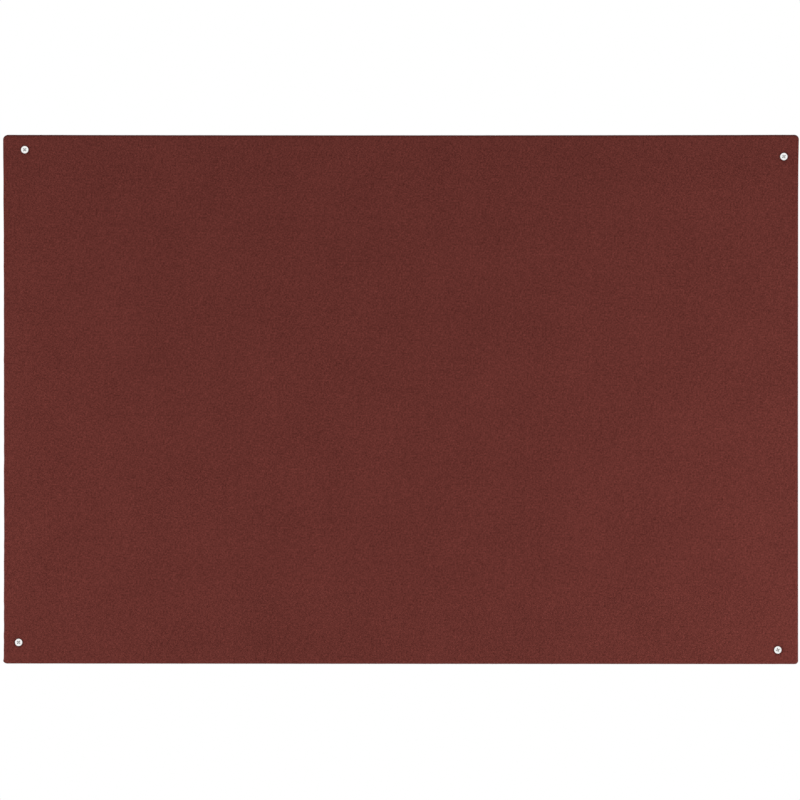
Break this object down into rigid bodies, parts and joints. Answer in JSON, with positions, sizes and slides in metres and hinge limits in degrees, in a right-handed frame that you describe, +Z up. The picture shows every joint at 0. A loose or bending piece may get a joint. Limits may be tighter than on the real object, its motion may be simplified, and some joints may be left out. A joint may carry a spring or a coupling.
{
  "type": "felt bulletin board",
  "caption": "Unframed wall-mounted notice board: a felt-wrapped softboard panel with a hardboard back, held by countersunk screws at its corners.",
  "frame": {"origin": "centre of the board's back face, on the wall plane", "axes": "+X right and +Z up as seen from the front, +Y into the wall; the felt front faces -Y"},
  "size_m": [0.9, 0.045, 0.6],
  "materials": {
    "felt": "dark red needle felt, matt",
    "softboard": "pressed wood fibre, matt",
    "hardboard": "brown hardboard, semi-matt",
    "screw_zinc": "bright zinc plate",
    "staple_wire": "galvanised wire",
    "plug_nylon": "grey nylon"
  },
  "bodies": {
    "root": {"backing_panel": "hardboard", "felt_cover": "felt", "screw_bottom_left": "screw_zinc", "screw_bottom_right": "screw_zinc", "screw_top_left": "screw_zinc", "screw_top_right": "screw_zinc", "softboard_core": "softboard", "staple_bottom_1": "staple_wire", "staple_bottom_2": "staple_wire", "staple_bottom_3": "staple_wire", "staple_bottom_4": "staple_wire", "staple_bottom_5": "staple_wire", "staple_bottom_6": "staple_wire", "staple_bottom_7": "staple_wire", "staple_bottom_8": "staple_wire", "staple_bottom_9": "staple_wire", "staple_left_1": "staple_wire", "staple_left_2": "staple_wire", "staple_left_3": "staple_wire", "staple_left_4": "staple_wire", "staple_left_5": "staple_wire", "staple_left_6": "staple_wire", "staple_right_1": "staple_wire", "staple_right_2": "staple_wire", "staple_right_3": "staple_wire", "staple_right_4": "staple_wire", "staple_right_5": "staple_wire", "staple_right_6": "staple_wire", "staple_top_1": "staple_wire", "staple_top_2": "staple_wire", "staple_top_3": "staple_wire", "staple_top_4": "staple_wire", "staple_top_5": "staple_wire", "staple_top_6": "staple_wire", "staple_top_7": "staple_wire", "staple_top_8": "staple_wire", "staple_top_9": "staple_wire", "wall_plug_bottom_left": "plug_nylon", "wall_plug_bottom_right": "plug_nylon", "wall_plug_top_left": "plug_nylon", "wall_plug_top_right": "plug_nylon"}
  },
  "joints": []
}
